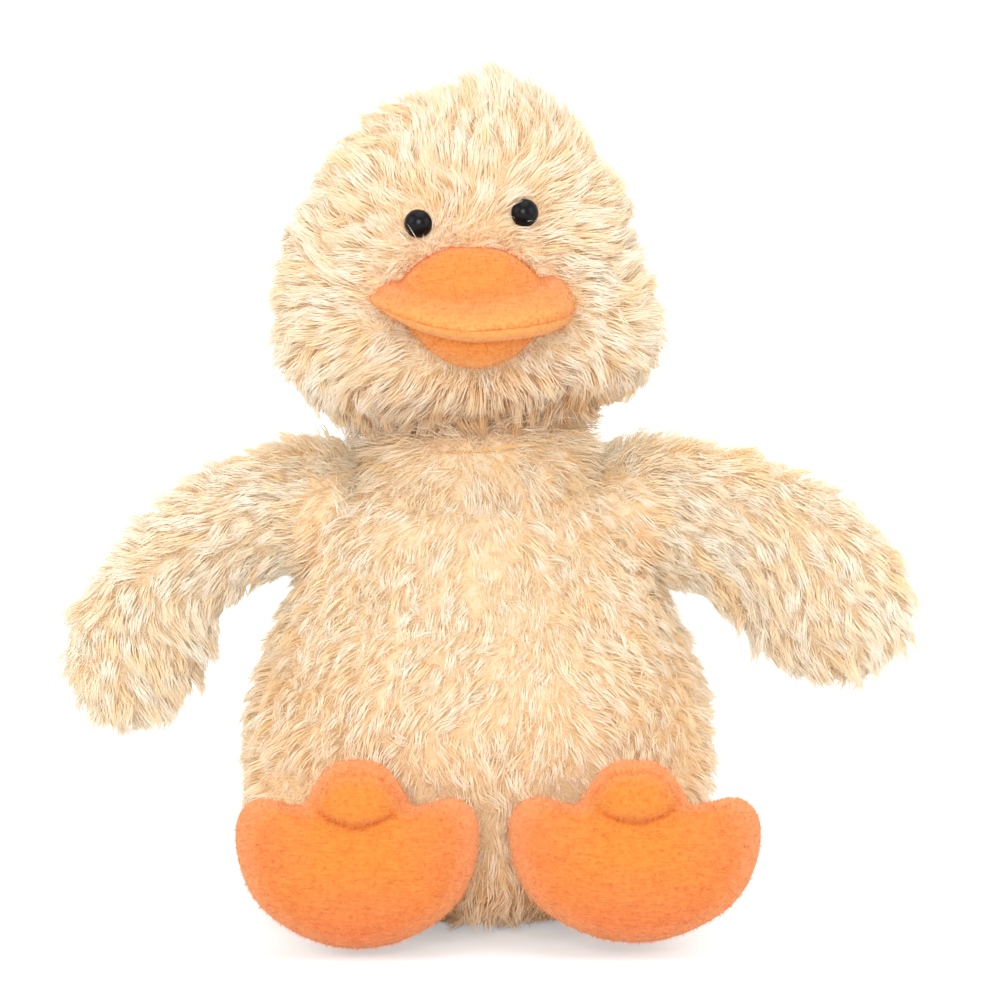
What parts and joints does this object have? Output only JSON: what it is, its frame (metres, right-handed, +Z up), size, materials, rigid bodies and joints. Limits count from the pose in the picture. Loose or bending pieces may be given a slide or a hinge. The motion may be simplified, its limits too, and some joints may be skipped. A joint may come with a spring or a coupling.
{
  "type": "plush duck",
  "caption": "Sitting plush duck with a fluffy fur body, head and wings, a stuffed velour bill and webbed velour feet.",
  "frame": {"origin": "middle of the flat seat under the body, on the surface that the duck sits on", "axes": "+Z up, the face looks along -Y, the duck's own left side is at +X"},
  "size_m": [0.2448, 0.1598, 0.2442],
  "materials": {
    "fur": "matte",
    "velour": "matte",
    "stuffing": "matte",
    "pellets": "matte",
    "eye": "gloss",
    "washer": "satin",
    "thread": "matte"
  },
  "bodies": {
    "root": {"body_cover": "fur", "body_stuffing": "stuffing", "pellet_bag": "pellets", "tail_cover": "fur", "tail_stuffing": "stuffing"},
    "neck": {"neck_thread": "thread"},
    "head": {"head_cover": "fur", "head_stuffing": "stuffing", "upper_bill_top": "velour", "upper_bill_lining": "velour", "upper_bill_stuffing": "stuffing", "lower_bill_cover": "velour", "lower_bill_stuffing": "stuffing", "left_eye": "eye", "left_eye_washer": "washer", "right_eye": "eye", "right_eye_washer": "washer"},
    "left_wing": {"left_wing_cover": "fur", "left_wing_stuffing": "stuffing"},
    "right_wing": {"right_wing_cover": "fur", "right_wing_stuffing": "stuffing"},
    "left_foot": {"left_leg_cover": "fur", "left_leg_stuffing": "stuffing", "left_foot_sole": "velour", "left_foot_upper": "velour", "left_foot_stuffing": "stuffing"},
    "right_foot": {"right_leg_cover": "fur", "right_leg_stuffing": "stuffing", "right_foot_sole": "velour", "right_foot_upper": "velour", "right_foot_stuffing": "stuffing"}
  },
  "joints": [
    {"name": "head_nod", "type": "hinge", "parent": "root", "child": "neck", "pos_m": [0.0029, 0, 0.12], "axis": [1, 0, 0], "range_deg": [-10, 10], "stiffness_Nm_per_rad": 0.5},
    {"name": "head_turn", "type": "hinge", "parent": "neck", "child": "head", "pos_m": [0.0029, 0, 0.12], "axis": [-0.0941, 0, 0.9956], "range_deg": [-25, 25], "stiffness_Nm_per_rad": 0.3},
    {"name": "left_wing_lift", "type": "hinge", "parent": "root", "child": "left_wing", "pos_m": [0.04404, -0.002, 0.116], "axis": [0, -1, 0], "range_deg": [-10, 25], "stiffness_Nm_per_rad": 0.3, "springref_deg": 2.01},
    {"name": "right_wing_lift", "type": "hinge", "parent": "root", "child": "right_wing", "pos_m": [-0.04404, -0.002, 0.116], "axis": [0, 1, 0], "range_deg": [-10, 25], "stiffness_Nm_per_rad": 0.3, "springref_deg": 2.01},
    {"name": "left_foot_swing", "type": "hinge", "parent": "root", "child": "left_foot", "pos_m": [0.0436, -0.04081, 0.01997], "axis": [1, 0, 0], "range_deg": [-8, 15], "stiffness_Nm_per_rad": 0.3},
    {"name": "right_foot_swing", "type": "hinge", "parent": "root", "child": "right_foot", "pos_m": [-0.0332, -0.04693, 0.0218], "axis": [1, 0, 0], "range_deg": [-8, 15], "stiffness_Nm_per_rad": 0.3}
  ]
}
